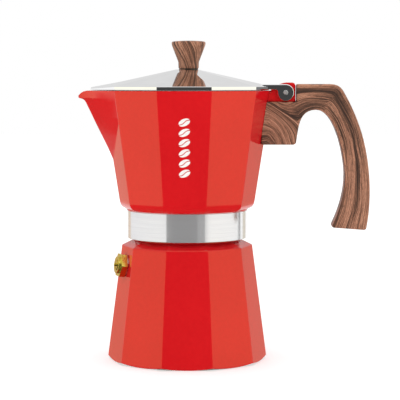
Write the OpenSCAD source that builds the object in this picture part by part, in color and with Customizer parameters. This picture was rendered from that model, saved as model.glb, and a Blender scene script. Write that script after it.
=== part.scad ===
// Stovetop moka pot, six cups. A ten-sided cast boiler with a round threaded
// neck carries a coffee funnel. A ten-sided collector with a spout, a handle and
// a hinged lid screws onto the neck over a gasket and a filter plate.
//
// Z is up and the pot's axis. The origin is the middle of the boiler's underside.
// The handle points along +X and the spout along -X. Lengths are in millimetres.
// A "corner radius" is the distance from the axis to a ten-sided piece's corner.

/* [Boiler] */
// Corner radius at the base, before the chamfer
boiler_base_r = 50.9; // [46:0.1:54]
// Radius of the underside, inside the turned chamfer
base_flat_r = 48.2; // [42:0.1:50]
// Corner radius where the side meets the shoulder
boiler_top_r = 41.5; // [41:0.1:44]
// Height of the top of the side
boiler_side_z = 72.6; // [68:0.1:73]
// Height of the shoulder's top, where the neck starts
shoulder_z = 76; // [75:0.1:76.4]
// Corner radius at the shoulder's top
shoulder_r = 34.6; // [34.4:0.1:37]
// Thickness of the boiler's floor
boiler_floor_t = 3.6; // [2:0.1:5]
// Angle by which the tightened boiler's corners miss the collector's corners
boiler_turn = 2; // [0:1:10]

/* [Neck and thread] */
// Radius of the neck between its threads
neck_r = 33; // [32.5:0.1:33]
// Bore of the neck
neck_bore_r = 28.8; // [28.6:0.1:29.5]
// Height of the neck's top
neck_top_z = 88; // [87.9:0.1:88]
// Rise of the thread in one turn
thread_pitch = 3; // [2.8:0.1:3.2]
// Turns of thread on each side
thread_turns = 2.6; // [1.5:0.1:2.6]
// Depth of each thread
thread_depth = 1.1; // [0.8:0.1:1.1]
// Radial gap between a thread's crest and the other side's root
thread_gap = 0.4; // [0.3:0.1:0.6]

/* [Waist band] */
// Outer radius of the bare band that covers the thread
band_r = 38.2; // [37.5:0.1:39]
// Height of the band's lower edge
band_bottom_z = 77.4; // [77:0.1:78]
// Height where the band meets the painted collector
band_top_z = 95.4; // [94:0.1:96]

/* [Collector] */
// Corner radius where the straight side starts
collector_low_r = 42.9; // [42:0.1:44]
// Height where the straight side starts
collector_low_z = 99.8; // [99:0.1:101]
// Corner radius at the rim
rim_r = 53.9; // [52:0.1:55]
// Height of the rim
rim_z = 170.6; // [169:0.1:171]
// Thickness of the wall at the corners
collector_wall = 2.9; // [2:0.1:3.5]
// Height of the collector's floor on its upper side
collector_floor_z = 98; // [97.5:0.1:99]
// Height of the coffee column's top
column_top_z = 150; // [130:1:155]
// Bore of the coffee column
column_bore_r = 4.2; // [3:0.1:5]

/* [Spout] */
// Height where the spout leaves the corner
spout_start_z = 127; // [120:1:135]
// Height above which the spout is as wide as two sides
spout_wide_z = 150; // [145:1:155]
// Distance of the spout's tip from the axis
spout_tip_x = 70; // [69:0.1:72]
// Height of the spout's tip
spout_tip_z = 165.7; // [164.5:0.1:166]

/* [Lid] */
// Corner radius of the lid
lid_r = 53.7; // [52:0.1:54]
// Height of the lower edge of the lid's skirt
lid_bottom_z = 170.8; // [170.8:0.1:171]
// Height of the upper edge of the lid's skirt
lid_edge_z = 173.1; // [172.8:0.1:173.5]
// Height of the flat under the knob
lid_top_z = 183.8; // [182:0.1:186]
// Corner radius of the flat under the knob
lid_flat_r = 7; // [6.5:0.1:9]
// Thickness of the lid
lid_t = 1.6; // [1.2:0.1:2]
// Distance of the beak's tip from the axis
beak_tip_x = 61; // [58:0.5:62]

/* [Hinge] */
// Distance of the hinge pin from the axis
hinge_x = 62.2; // [61.5:0.1:62.5]
// Height of the hinge pin
hinge_z = 169.3; // [168.8:0.1:169.5]
// Radius of the hinge pin
pin_r = 1.5; // [1:0.1:1.8]
// Outer radius of the lid's two ears
ear_r = 5.2; // [4.8:0.1:5.3]
// Thickness of each ear
ear_t = 2.5; // [2:0.1:3]
// Half of the width of the hinge lug between the ears
lug_half_w = 5.7; // [5:0.1:5.7]
// Distance of the lug's outer face from the axis
lug_end_x = 68.4; // [68:0.1:68.6]
// Height of the lug's top
lug_top_z = 175.6; // [174.8:0.1:175.8]
// Height of the lug's underside, which the handle's block meets
lug_bottom_z = 163.5; // [163:0.1:163.8]

/* [Handle] */
// Half of the handle's width
handle_half_w = 8; // [7:0.1:9]
// Distance of the back of the grip from the axis
handle_back_x = 115.4; // [112:0.1:118]
// Height of the handle's top
handle_top_z = 174.6; // [174:0.1:175]
// Height of the underside of the handle's block
block_bottom_z = 136.5; // [130:0.1:138]
// Height of the grip's lower end
grip_end_z = 83.4; // [78:0.1:88]

/* [Knob] */
// Distance of the knob from the axis, towards the hinge
knob_x = 1; // [0:0.1:1.5]
// Radius of the knob's foot
knob_foot_r = 6.4; // [5.8:0.1:7]
// Radius of the knob at its widest
knob_r = 10.7; // [9:0.1:12]
// Height of the knob's top
knob_top_z = 201.9; // [198:0.1:206]

/* [Funnel, gasket and filter] */
// Outer radius of the coffee basket
basket_r = 28.3; // [28:0.1:28.4]
// Thickness of the funnel's sheet
sheet_t = 0.8; // [0.6:0.1:1]
// Height of the basket's floor
basket_floor_z = 64; // [62:1:66]
// Height of the lower end of the funnel's stem
stem_end_z = 8; // [6:1:12]
// Outer radius of the funnel's stem
stem_r = 4.6; // [4:0.1:5]
// Outer radius of the gasket, which is 4 mm thick
gasket_r = 32.3; // [32:0.1:32.4]
// Radius of the hole in the gasket
gasket_hole_r = 26; // [25:0.5:27]

/* [Safety valve] */
// Height of the valve on the boiler's side
valve_z = 60.6; // [56:0.1:61]
// Width of the brass hexagon across its flats
hexagon_w = 14; // [12:1:15]
// Radius of the threaded shank
shank_r = 5; // [4.5:0.1:5]
// How far the poppet lifts
valve_travel = 1.8; // [1:0.1:2]

/* [Hidden] */

paint = "#c8202a";
bare_metal = "#b9bcc0";
polished = "#dfe2e6";
wood_look = "#8a5a44";
brass = "#c9a24a";
rubber = "#d8d4cc";
steel = "#9a9ea3";

sides = 10;
corner_step = 360 / sides;
flat_share = cos(corner_step / 2); // a side's distance from the axis, over the corner radius
round_fn = 96;
small_fn = 32;
eps = 0.05;
bury = 0.4; // how far a piece of a casting is sunk into its neighbour

// Boiler
chamfer_slope = 0.5; // rise of the base's chamfer per unit of radius
boiler_wall = 2.8;
boiler_slope = (boiler_base_r - boiler_top_r) / boiler_side_z;
boiler_low_in_r = boiler_base_r * flat_share - boiler_wall - 0.5;
boiler_high_in_r = boiler_top_r * flat_share - boiler_wall;

// Threads
thread_start_z = 79;
thread_foot_w = 1.9;
thread_crest_w = 0.6;
steps_per_turn = 32;
skirt_bore_r = neck_r + thread_depth + thread_gap;

// Gasket and filter
gasket_bottom_z = neck_top_z + 1;
gasket_top_z = gasket_bottom_z + 4;
seat_r = gasket_r + 0.3;
filter_r = 28.3;
filter_t = 0.8;

// Collector
collector_slope = (rim_r - collector_low_r) / (rim_z - collector_low_z);
column_foot_r = 9;
column_tip_r = 6.2;
slot_h = 5;
slot_w = 5;
foot_z = band_top_z + 1.6; // where the painted side starts to curve into the band
lip_z = spout_tip_z - 3; // where the spout's underside turns out towards its tip
spout_wide_x = 58.4;
lip_x = 64.3;
mouth_start_x = 63.4; // where the spout's edge starts to fall from the rim

// Valve, measured outwards from the face of the boiler's side
boss_depth = 4.8;
valve_angle = -162 + boiler_turn;
valve_tilt = atan(boiler_slope * flat_share);
valve_face_x = (boiler_base_r - valve_z * boiler_slope) * flat_share;
washer_t = 0.6;
hexagon_t = 4;
nose_end = 6;
shank_end = 10;
orifice_r = 1.6;
spring_room_r = 3.4;
seat_end = shank_end - 1.5;
poppet_t = 1.5;
poppet_r = 2.9;
stem_tip = 7.4;
valve_stem_r = 1;
cap_t = 2.5;
spring_wire_r = 0.35;
spring_r = 2.3;
spring_turns = 6;

// Lid
lug_notch_x = 50.2;
lug_notch_half_w = 6;
lid_slope = (lid_top_z - lid_edge_z) / (lid_r - lid_flat_r);

// Handle
grip_gap = 0.2; // between the handle's block and the collector
arm_start_x = 69;
block_corner_r = 2.2;
block_root_x = 47; // inside the collector's wall, which is cut out of the block
handle_screw_x = 57.5;
screw_r = 2;
screw_seat_z = 148;
screw_head_r = 3.9;
screw_head_t = 3;

// Corner radius of the collector's outside at a height on its straight side
function collector_r(z) = rim_r - (rim_z - z) * collector_slope;

// Points of a cubic Bezier curve between a and d, without its last point
function bezier(a, b, c, d, steps = 8) =
    [for (i = [0:steps - 1]) let (t = i / steps, s = 1 - t)
        s * s * s * a + 3 * s * s * t * b + 3 * s * t * t * c + t * t * t * d];

// Points of an arc in a plane, from one angle to another
function arc(centre, r, from, to, steps = 6) =
    [for (i = [0:steps]) let (a = from + (to - from) * i / steps)
        centre + r * [cos(a), sin(a)]];

// A ten-sided solid of revolution
module ten_sided(profile) {
    rotate_extrude($fn = sides) polygon(profile);
}

// A round solid of revolution
module turned(profile) {
    rotate_extrude($fn = round_fn) polygon(profile);
}

// A closed solid through sections that all have the same number of points
module loft(sections) {
    n = len(sections[0]);
    last = len(sections) - 1;
    polyhedron(
        points = [for (s = sections) for (p = s) p],
        faces = concat(
            [[for (i = [0:n - 1]) i]],
            [for (k = [0:last - 1]) for (i = [0:n - 1]) let (j = (i + 1) % n)
                [k * n + i, (k + 1) * n + i, (k + 1) * n + j]],
            [for (k = [0:last - 1]) for (i = [0:n - 1]) let (j = (i + 1) % n)
                [k * n + i, (k + 1) * n + j, k * n + j]],
            [[for (i = [n - 1:-1:0]) last * n + i]]));
}

// A right-hand thread with blunt ends, standing from foot_r outwards or inwards to crest_r
module thread_ridge(foot_r, crest_r) {
    foot = thread_foot_w / 2;
    crest = thread_crest_w / 2;
    profile = [[foot_r, -foot], [crest_r, -crest], [crest_r, crest], [foot_r, foot]];
    order = crest_r > foot_r ? [3:-1:0] : [0:3];
    loft([for (k = [0:thread_turns * steps_per_turn]) let (
            a = (k + 0.5) * 360 / steps_per_turn,
            z = thread_start_z + k * thread_pitch / steps_per_turn)
        [for (i = order) let (p = profile[i]) [p.x * cos(a), p.x * sin(a), z + p.y]]]);
}

// A many-sided rod whose corners stand at the thread's own steps
module thread_core(r, from_z, to_z) {
    translate([0, 0, from_z]) linear_extrude(to_z - from_z)
        polygon([for (k = [0:steps_per_turn - 1]) let (a = (k + 0.5) * 360 / steps_per_turn)
            r * [cos(a), sin(a)]]);
}

// Turns a shape made along +X, with x = 0 at the boiler's face, to the valve's place
module at_valve() {
    rotate([0, 0, valve_angle])
        translate([valve_face_x, 0, valve_z])
            rotate([0, -valve_tilt, 0])
                children();
}

// A round or six-sided rod along +X between two distances
module rod(from, to, r, fn = small_fn) {
    translate([from, 0, 0]) rotate([0, 90, 0]) cylinder(h = to - from, r = r, $fn = fn);
}

// A disc with rings of round holes
module perforated_disc(r, t, rings, hole_r) {
    difference() {
        cylinder(h = t, r = r, $fn = round_fn);
        translate([0, 0, -eps]) cylinder(h = t + 2 * eps, r = hole_r, $fn = 16);
        for (ring = [1:rings]) for (k = [0:6 * ring - 1])
            rotate([0, 0, 60 * k / ring + 7 * ring])
                translate([ring * r * 0.86 / rings, 0, -eps])
                    cylinder(h = t + 2 * eps, r = hole_r, $fn = 16);
    }
}

// The ring turned off the boiler's base, which cuts its corners higher than its sides
module base_chamfer() {
    below = 0.5;
    beyond = boiler_base_r + 3;
    turned([
        [base_flat_r - below / chamfer_slope, -below], [beyond, -below],
        [beyond, (beyond - base_flat_r) * chamfer_slope]]);
}

module boiler() {
    color(paint) difference() {
        union() {
            rotate([0, 0, boiler_turn])
                ten_sided([
                    [0, 0], [boiler_base_r, 0], [boiler_top_r, boiler_side_z],
                    [shoulder_r, shoulder_z], [0, shoulder_z]]);
            thread_core(neck_r, shoulder_z - 1, neck_top_z);
            thread_ridge(neck_r - bury, neck_r + thread_depth);
        }
        base_chamfer();
        difference() {
            turned([
                [0, boiler_floor_t], [boiler_low_in_r - 1.7, boiler_floor_t],
                [boiler_low_in_r, boiler_floor_t + 1.7],
                [boiler_high_in_r, boiler_side_z - 3], [neck_bore_r + 1, shoulder_z - 3],
                [neck_bore_r, shoulder_z - 1.5], [neck_bore_r, neck_top_z + 1],
                [0, neck_top_z + 1]]);
            at_valve() rod(-boss_depth, 0, 8.5);
        }
        at_valve() rod(-boss_depth - 1, 2, shank_r + eps);
    }
}

module valve_body() {
    color(brass) at_valve() difference() {
        union() {
            rod(-shank_end, washer_t + eps, shank_r);
            rotate([30, 0, 0]) rod(washer_t, washer_t + hexagon_t, hexagon_w / sqrt(3), 6);
            rod(washer_t + hexagon_t - eps, nose_end, shank_r + 0.4);
        }
        rod(-seat_end, nose_end + 1, spring_room_r);
        rod(-shank_end - 1, nose_end, orifice_r);
    }
}

module valve_washer() {
    color(steel) at_valve() difference() {
        rod(0, washer_t, 6.9);
        rod(-1, washer_t + 1, shank_r + 2 * eps);
    }
}

module valve_nut() {
    color(brass) at_valve() difference() {
        rod(-boss_depth - 3, -boss_depth, hexagon_w / sqrt(3), 6);
        rod(-boss_depth - 4, 0, shank_r + eps);
    }
}

module valve_stem() {
    color(brass) at_valve() {
        rod(-seat_end + 0.8, -seat_end + 0.8 + poppet_t, poppet_r);
        rod(-seat_end + 0.3, stem_tip, valve_stem_r);
    }
}

module valve_seal() {
    color(rubber) at_valve() difference() {
        rod(-seat_end, -seat_end + 0.8, poppet_r - 0.2);
        rod(-seat_end + 0.3, 0, valve_stem_r);
    }
}

module valve_spring() {
    first = -seat_end + 0.8 + poppet_t + spring_wire_r;
    last = nose_end - cap_t - spring_wire_r;
    steps = 14;
    wire_sides = 6;
    color(steel) at_valve()
        loft([for (k = [0:spring_turns * steps]) let (
                a = k * 360 / steps,
                x = first + (last - first) * k / (spring_turns * steps))
            [for (i = [0:wire_sides - 1]) let (
                    b = i * 360 / wire_sides,
                    r = spring_r + spring_wire_r * cos(b))
                [x - spring_wire_r * sin(b), r * cos(a), r * sin(a)]]]);
}

module valve_cap() {
    color(brass) at_valve() difference() {
        rod(nose_end - cap_t, nose_end + 0.4, spring_room_r);
        rod(0, stem_tip, valve_stem_r + 0.2);
        for (a = [0, 180]) rotate([a, 0, 0]) translate([0, 0, 2.2]) rod(0, stem_tip, 0.6);
    }
}

module funnel() {
    inner_r = basket_r - sheet_t;
    cone_drop = 7;
    color(bare_metal) turned([
        [neck_bore_r - 0.7, neck_top_z], [gasket_r - 0.5, neck_top_z],
        [gasket_r - 0.5, gasket_bottom_z], [inner_r, gasket_bottom_z],
        [inner_r, basket_floor_z], [inner_r - 1.2, basket_floor_z],
        [stem_r - sheet_t, basket_floor_z - cone_drop], [stem_r - sheet_t, stem_end_z],
        [stem_r, stem_end_z], [stem_r, basket_floor_z - cone_drop - 0.6],
        [basket_r, basket_floor_z - 1], [basket_r, neck_top_z]]);
}

module funnel_screen() {
    color(steel) translate([0, 0, basket_floor_z])
        perforated_disc(basket_r - sheet_t - 0.1, 0.7, 4, 0.9);
}

module gasket() {
    color(rubber) turned([
        [gasket_hole_r, gasket_bottom_z], [gasket_r, gasket_bottom_z],
        [gasket_r, gasket_top_z], [gasket_hole_r, gasket_top_z]]);
}

module filter_plate() {
    color(steel) translate([0, 0, gasket_top_z]) perforated_disc(filter_r, filter_t, 5, 0.8);
}

// One level of the collector: its ten corners, with the one over the spout drawn out to
// keel_x. The two points beside the keel run along the sides from the corner (share 1)
// to the next corners (share 0) as the spout grows wider. d is taken off all round.
function level(z, r, keel_x, share, d = 0) = let (
        inner = r - d,
        next = [-inner * cos(corner_step), inner * sin(corner_step)],
        beside = next + (0.02 + 0.94 * share) * ([-inner, 0] - next),
        corners = [for (k = [-3:3]) inner * [cos(k * corner_step), sin(k * corner_step)]])
    [for (p = concat(corners, [next, beside, [-max(keel_x - 1.1 * d, inner), 0],
            [beside.x, -beside.y], [next.x, -next.y]])) [p.x, p.y, z]];

// The outside of the collector above its band, with its spout
module collector_outside() {
    difference() {
        loft([
            level(band_top_z, band_r + 1, 0, 1),
            level(foot_z, collector_low_r - 1.7, 0, 1),
            level(collector_low_z, collector_low_r, 0, 1),
            level(spout_start_z, collector_r(spout_start_z), 0, 1),
            level(spout_wide_z, collector_r(spout_wide_z), spout_wide_x, 0),
            level(lip_z, collector_r(lip_z), lip_x, 0),
            level(spout_tip_z - 0.8, collector_r(spout_tip_z - 0.8), spout_tip_x - 4, 0),
            level(spout_tip_z, collector_r(spout_tip_z), spout_tip_x - 0.5, 0),
            level(spout_tip_z + 0.4, collector_r(spout_tip_z + 0.4), spout_tip_x, 0),
            level(rim_z, rim_r, spout_tip_x, 0)]);
        translate([0, 20, 0]) rotate([90, 0, 0]) linear_extrude(40) polygon([
            [-mouth_start_x, rim_z], [-mouth_start_x - 3, rim_z - 1.1],
            [-spout_tip_x + 1.6, rim_z - 2.7],
            [-spout_tip_x - 1, spout_tip_z + 0.2], [-spout_tip_x - 1, rim_z + 1],
            [-mouth_start_x, rim_z + 1]]);
    }
}

// The space inside the collector and its spout
module collector_space() {
    d = collector_wall;
    loft([
        level(collector_floor_z, collector_low_r - 2, 0, 1, d),
        level(collector_low_z, collector_low_r, 0, 1, d),
        level(spout_start_z + 2, collector_r(spout_start_z + 2), 0, 1, d),
        level(spout_wide_z + 1, collector_r(spout_wide_z + 1), spout_wide_x, 0, d),
        level(lip_z + 2, collector_r(lip_z + 2), lip_x + 0.6, 0, d),
        level(spout_tip_z + 0.8, collector_r(spout_tip_z + 0.8), spout_tip_x + 1, 0, d),
        level(rim_z + 1, rim_r, spout_tip_x + 1, 0, d)]);
}

module hinge_lug() {
    corner_r = 2;
    root_x = rim_r * flat_share - 0.8;
    step_x = root_x + 2.5;
    outline = concat(
        [[root_x, lug_bottom_z], [lug_end_x, lug_bottom_z]],
        arc([lug_end_x - corner_r, lug_top_z - corner_r], corner_r, 0, 90),
        [[lug_end_x - 6, lug_top_z], [step_x, lug_top_z - 2.6], [step_x, rim_z - 1],
            [root_x, rim_z - 1]]);
    translate([0, lug_half_w, 0]) rotate([90, 0, 0])
        linear_extrude(2 * lug_half_w) polygon(outline);
}

module upper_chamber() {
    color(paint) difference() {
        union() {
            difference() {
                union() {
                    collector_outside();
                    hinge_lug();
                    translate([0, 0, band_bottom_z])
                        cylinder(h = band_top_z - band_bottom_z + 1, r = band_r, $fn = round_fn);
                }
                collector_space();
                thread_core(skirt_bore_r, band_bottom_z - 1, neck_top_z + 0.6);
            }
            rotate([0, 0, 180])
                thread_ridge(skirt_bore_r + bury, skirt_bore_r - thread_depth);
            translate([0, 0, collector_floor_z - 1])
                cylinder(h = column_top_z - collector_floor_z + 1, r1 = column_foot_r,
                    r2 = column_tip_r, $fn = 48);
        }
        turned([
            [0, neck_top_z], [seat_r, neck_top_z], [seat_r, gasket_top_z],
            [filter_r + 0.5, gasket_top_z], [filter_r + 0.5, gasket_top_z + 1.6],
            [column_bore_r, collector_floor_z - 0.5], [column_bore_r, column_top_z - 3],
            [0, column_top_z - 3]]);
        translate([-slot_w / 2, -column_foot_r, column_top_z - 3 - slot_h])
            cube([slot_w, 2 * column_foot_r, slot_h]);
        translate([hinge_x, lug_half_w + 1, hinge_z]) rotate([90, 0, 0])
            cylinder(h = 2 * lug_half_w + 2, r = pin_r, $fn = small_fn);
        translate([handle_screw_x, 0, lug_bottom_z - 1])
            cylinder(h = 8, r = screw_r + eps, $fn = small_fn);
    }
}

// The handle seen from the side, in X and Z, with its back at x = 115.4
function handle_outline() = concat(
    [[block_root_x, block_bottom_z], [arm_start_x - block_corner_r, block_bottom_z]],
    arc([arm_start_x - block_corner_r, block_bottom_z + block_corner_r], block_corner_r,
        -80, 0, 4),
    bezier([arm_start_x + 0.5, block_bottom_z + 6], [70.6, 149.5], [71.5, 158.4], [81.3, 158.5]),
    bezier([81.3, 158.5], [91, 158.5], [96.5, 141], [98.8, 126]),
    bezier([98.8, 126], [101, 112], [98, 99], [91.9, grip_end_z + 2.6]),
    bezier([91.9, grip_end_z + 2.6], [91.3, grip_end_z + 1.3], [92, grip_end_z + 0.7],
        [94.6, grip_end_z + 0.6], 4),
    bezier([111.4, grip_end_z - 0.6], [113, grip_end_z - 0.6], [113.3, grip_end_z - 0.2],
        [113.5, grip_end_z + 1.2], 4),
    bezier([113.5, grip_end_z + 1.2], [116.1, 98], [116.6, 119], [111.2, 140]),
    bezier([111.2, 140], [108.2, 150.5], [104.3, 160], [98.6, 169.8]),
    bezier([98.6, 169.8], [97, 172.8], [94.4, handle_top_z], [90.6, handle_top_z], 4),
    arc([arm_start_x + 1, handle_top_z - 1], 1, 90, 180, 3),
    [[arm_start_x, lug_bottom_z], [block_root_x, lug_bottom_z]]);

module handle() {
    stretch = (handle_back_x - arm_start_x) / (115.4 - arm_start_x);
    outline = [for (p = handle_outline())
        [p.x > arm_start_x ? arm_start_x + (p.x - arm_start_x) * stretch : p.x, p.y]];
    color(wood_look) difference() {
        translate([0, handle_half_w, 0]) rotate([90, 0, 0])
            linear_extrude(2 * handle_half_w) polygon(outline);
        ten_sided([
            [0, block_bottom_z - 1], [collector_r(block_bottom_z - 1) + grip_gap, block_bottom_z - 1],
            [rim_r + grip_gap, rim_z], [0, rim_z]]);
        translate([handle_screw_x, 0, block_bottom_z - 1])
            cylinder(h = screw_seat_z - block_bottom_z + 1, r = screw_head_r + 0.3, $fn = small_fn);
        translate([handle_screw_x, 0, block_bottom_z])
            cylinder(h = 30, r = screw_r + 0.2, $fn = small_fn);
    }
}

// A screw with a domed head below its seat, along +Z
module screw(seat_z, length, head_r, head_t) {
    turned([
        [0, seat_z - head_t], [head_r * 0.7, seat_z - head_t], [head_r, seat_z - head_t * 0.5],
        [head_r, seat_z], [screw_r, seat_z], [screw_r, seat_z + length - 0.6],
        [screw_r - 0.6, seat_z + length], [0, seat_z + length]]);
}

module cross_slot(seat_z, head_t) {
    for (a = [0, 90]) translate([0, 0, seat_z - head_t]) rotate([0, 0, a])
        cube([4, 0.9, 2], center = true);
}

module handle_screw() {
    color(steel) translate([handle_screw_x, 0, 0]) difference() {
        screw(screw_seat_z, 21, screw_head_r, screw_head_t);
        cross_slot(screw_seat_z, screw_head_t);
    }
}

module hinge_pin() {
    half = lug_half_w + 0.3 + ear_t + 0.2;
    color(steel) translate([hinge_x, half, hinge_z]) rotate([90, 0, 0])
        cylinder(h = 2 * half, r = pin_r, $fn = small_fn);
}

// The lid's beak over the spout, as two sections across it
module beak() {
    root_x = lid_r * cos(36) - 0.4;
    root_w = lid_r * sin(36) - 0.4;
    tip_w = 6;
    loft([for (s = [
            [root_x, root_w, lid_edge_z, lid_top_z - (root_x - lid_flat_r) * lid_slope + 0.4],
            [beak_tip_x, tip_w, lid_bottom_z + 1.1, lid_bottom_z + 1.8]])
        [[-s[0], -s[1], lid_bottom_z], [-s[0], -s[1], s[2]], [-s[0], 0, s[3]],
            [-s[0], s[1], s[2]], [-s[0], s[1], lid_bottom_z]]]);
}

module ear() {
    root_x = 49;
    rotate([90, 0, 0]) linear_extrude(ear_t) {
        translate([hinge_x, hinge_z]) circle(ear_r, $fn = 48);
        polygon([[root_x, lid_bottom_z + 0.4], [hinge_x, lid_bottom_z + 0.4],
            [hinge_x, hinge_z + ear_r], [root_x, hinge_z + ear_r]]);
    }
}

module lid() {
    ear_y = lug_half_w + 0.3;
    color(polished) difference() {
        union() {
            difference() {
                union() {
                    ten_sided([
                        [0, lid_bottom_z], [lid_r, lid_bottom_z], [lid_r, lid_edge_z],
                        [lid_flat_r, lid_top_z], [0, lid_top_z]]);
                    beak();
                }
                ten_sided([
                    [0, lid_bottom_z - 1], [lid_r - 2.6, lid_bottom_z - 1],
                    [lid_r - 2.6, lid_edge_z - lid_t + 0.5],
                    [lid_flat_r, lid_top_z - lid_t], [0, lid_top_z - lid_t]]);
            }
            for (y = [-ear_y, ear_y + ear_t]) translate([0, y, 0]) ear();
        }
        translate([lug_notch_x, -lug_notch_half_w, lid_bottom_z - 5])
            cube([20, 2 * lug_notch_half_w, 15]);
        translate([hinge_x, 10, hinge_z]) rotate([90, 0, 0])
            cylinder(h = 20, r = pin_r + eps, $fn = small_fn);
        translate([knob_x, 0, lid_top_z - 4]) cylinder(h = 8, r = screw_r + 0.1, $fn = small_fn);
    }
}

module knob_washer() {
    color(steel) translate([knob_x, 0, lid_top_z]) difference() {
        cylinder(h = 0.6, r = knob_foot_r - 0.4, $fn = 48);
        translate([0, 0, -1]) cylinder(h = 3, r = screw_r + 0.1, $fn = small_fn);
    }
}

module knob() {
    foot_z = lid_top_z + 0.6;
    taper_z = 190;
    taper_r = knob_foot_r + 0.7;
    wide_z = knob_top_z - 2.4;
    edge_r = knob_r - 1.7;
    color(wood_look) translate([knob_x, 0, 0]) difference() {
        turned(concat(
            [[0, foot_z], [knob_foot_r, foot_z]],
            bezier([knob_foot_r, taper_z - 2], [knob_foot_r, taper_z - 1.2],
                [knob_foot_r + 0.3, taper_z - 0.8], [taper_r, taper_z], 5),
            bezier([taper_r, taper_z], [taper_r + 1, taper_z + 2.6],
                [knob_r - 0.8, wide_z - 2], [knob_r - 0.1, wide_z], 4),
            bezier([knob_r - 0.1, wide_z], [knob_r + 0.2, wide_z + 1.2],
                [knob_r - 0.3, knob_top_z - 0.6], [edge_r, knob_top_z - 0.4], 6),
            [[edge_r, knob_top_z - 0.4], [3, knob_top_z], [0, knob_top_z]]));
        translate([0, 0, foot_z - 1]) cylinder(h = 11, r = screw_r + eps, $fn = small_fn);
    }
}

module knob_screw() {
    color(steel) translate([knob_x, 0, 0]) difference() {
        screw(lid_top_z - lid_t, 11, 3.6, 2.2);
        cross_slot(lid_top_z - lid_t, 2.2);
    }
}

boiler();
valve_body();
valve_washer();
valve_nut();
valve_stem();
valve_seal();
valve_spring();
valve_cap();
funnel();
funnel_screen();
gasket();
filter_plate();
upper_chamber();
handle();
handle_screw();
hinge_pin();
lid();
knob();
knob_washer();
knob_screw();
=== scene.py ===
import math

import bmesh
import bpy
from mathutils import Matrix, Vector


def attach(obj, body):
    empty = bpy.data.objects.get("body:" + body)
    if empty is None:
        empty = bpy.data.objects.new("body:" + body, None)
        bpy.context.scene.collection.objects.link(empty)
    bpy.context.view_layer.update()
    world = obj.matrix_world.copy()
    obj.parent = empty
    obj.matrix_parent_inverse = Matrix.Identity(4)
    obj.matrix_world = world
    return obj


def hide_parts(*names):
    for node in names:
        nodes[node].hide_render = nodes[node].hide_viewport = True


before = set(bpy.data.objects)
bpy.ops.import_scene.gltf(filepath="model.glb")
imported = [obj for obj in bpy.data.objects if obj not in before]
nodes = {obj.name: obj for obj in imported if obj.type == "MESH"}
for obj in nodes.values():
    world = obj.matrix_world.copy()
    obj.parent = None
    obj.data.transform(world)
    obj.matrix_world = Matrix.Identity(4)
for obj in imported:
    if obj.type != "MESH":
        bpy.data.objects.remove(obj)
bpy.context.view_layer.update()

# Looks of a stovetop moka pot: enamelled ten-sided castings, a turned waist band, a polished
# lid, wood-look handle and knob, a brass valve, and a plain white studio around them.
# Lengths in the tables below are millimetres; make_object() turns them into metres.

MM = 0.001

# ---------------------------------------------------------------- numbers shared with the CAD
SIDES = 10
STEP = math.radians(360 / SIDES)
FLAT_SHARE = math.cos(STEP / 2)
BOILER_TURN = math.radians(2)
BOILER_BASE_R = 50.9
BOILER_TOP_R = 41.5
BOILER_SIDE_Z = 72.6
BOILER_SLOPE = (BOILER_BASE_R - BOILER_TOP_R) / BOILER_SIDE_Z
BASE_CHAMFER_R = 48.2  # where the turned chamfer meets the underside
BASE_CHAMFER_SLOPE = 0.5
RIM_Z = 170.6
RIM_R = 53.9
LOW_Z = 99.8
LOW_R = 42.9
WALL = 2.9
COLLECTOR_SLOPE = (RIM_R - LOW_R) / (RIM_Z - LOW_Z)
SPOUT_START_Z = 127.0
SPOUT_WIDE_Z = 150.0
CHANNEL_START_Z = 129.0  # the spout's inside starts and widens a little higher
CHANNEL_WIDE_Z = 151.0
THREAD_PITCH = 3.0
THREAD_TURNS = 2.6
THREAD_START_Z = 79.0
LID_R = 53.7
LID_LOW_Z = 170.8
LID_EDGE_Z = 173.1
LID_TOP_Z = 183.8
LID_FLAT_R = 7.0
LID_IN_R = 51.1
LID_IN_EDGE_Z = 172.0
LID_IN_TOP_Z = 182.2
LID_HEEL_X = 49.0  # the inside's reach towards the hinge
LID_NOTCH = (50.2, 6.0)  # x and half width of the notch between the ears
LID_SLOPE = (LID_TOP_Z - LID_EDGE_Z) / (LID_R - LID_FLAT_R)
HINGE = (62.2, 169.3)
EAR_R = 5.2
EAR_Y = (6.0, 8.5)
KNOB_X = 1.0
KNOB_FOOT_R = 6.0
HANDLE_HALF_W = 8.0
HANDLE_GAP = 0.2  # between the handle's block and the collector
HANDLE_SCREW_X = 57.5
HANDLE_SCREW_HOLE_R = 4.2
BLOCK_ROOT_X = 47.0
BLOCK_END_X = 69.0
LUG_HALF_W = 5.7

CORNER_SETBACK = 0.55  # how far the rounding of a casting's upright edge starts from the corner
ARC_POINTS = 4
SIDE_POINTS = 8


# ---------------------------------------------------------------- small geometry helpers
def lookup(table, x):
    """Value at x of a line through (x, value) pairs with rising x."""
    if x <= table[0][0]:
        return table[0][1]
    for (x0, y0), (x1, y1) in zip(table, table[1:]):
        if x <= x1:
            return y0 + (y1 - y0) * (x - x0) / (x1 - x0)
    return table[-1][1]


def bezier(a, b, c, d, steps=8, last=False):
    """Points of a cubic Bezier curve, without its last point unless asked."""
    out = []
    for i in range(steps + (1 if last else 0)):
        t = i / steps
        s = 1 - t
        out.append(tuple(
            s * s * s * p + 3 * s * s * t * q + 3 * s * t * t * u + t * t * t * v
            for p, q, u, v in zip(a, b, c, d)))
    return out


def arc(centre, r, start, end, steps):
    """Points of an arc between two angles in degrees."""
    out = []
    for i in range(steps + 1):
        a = math.radians(start + (end - start) * i / steps)
        out.append((centre[0] + r * math.cos(a), centre[1] + r * math.sin(a)))
    return out


def polygon(r, turn=0.0):
    """Corners of the ten-sided outline."""
    return [Vector((r * math.cos(k * STEP + turn), r * math.sin(k * STEP + turn)))
            for k in range(SIDES)]


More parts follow.
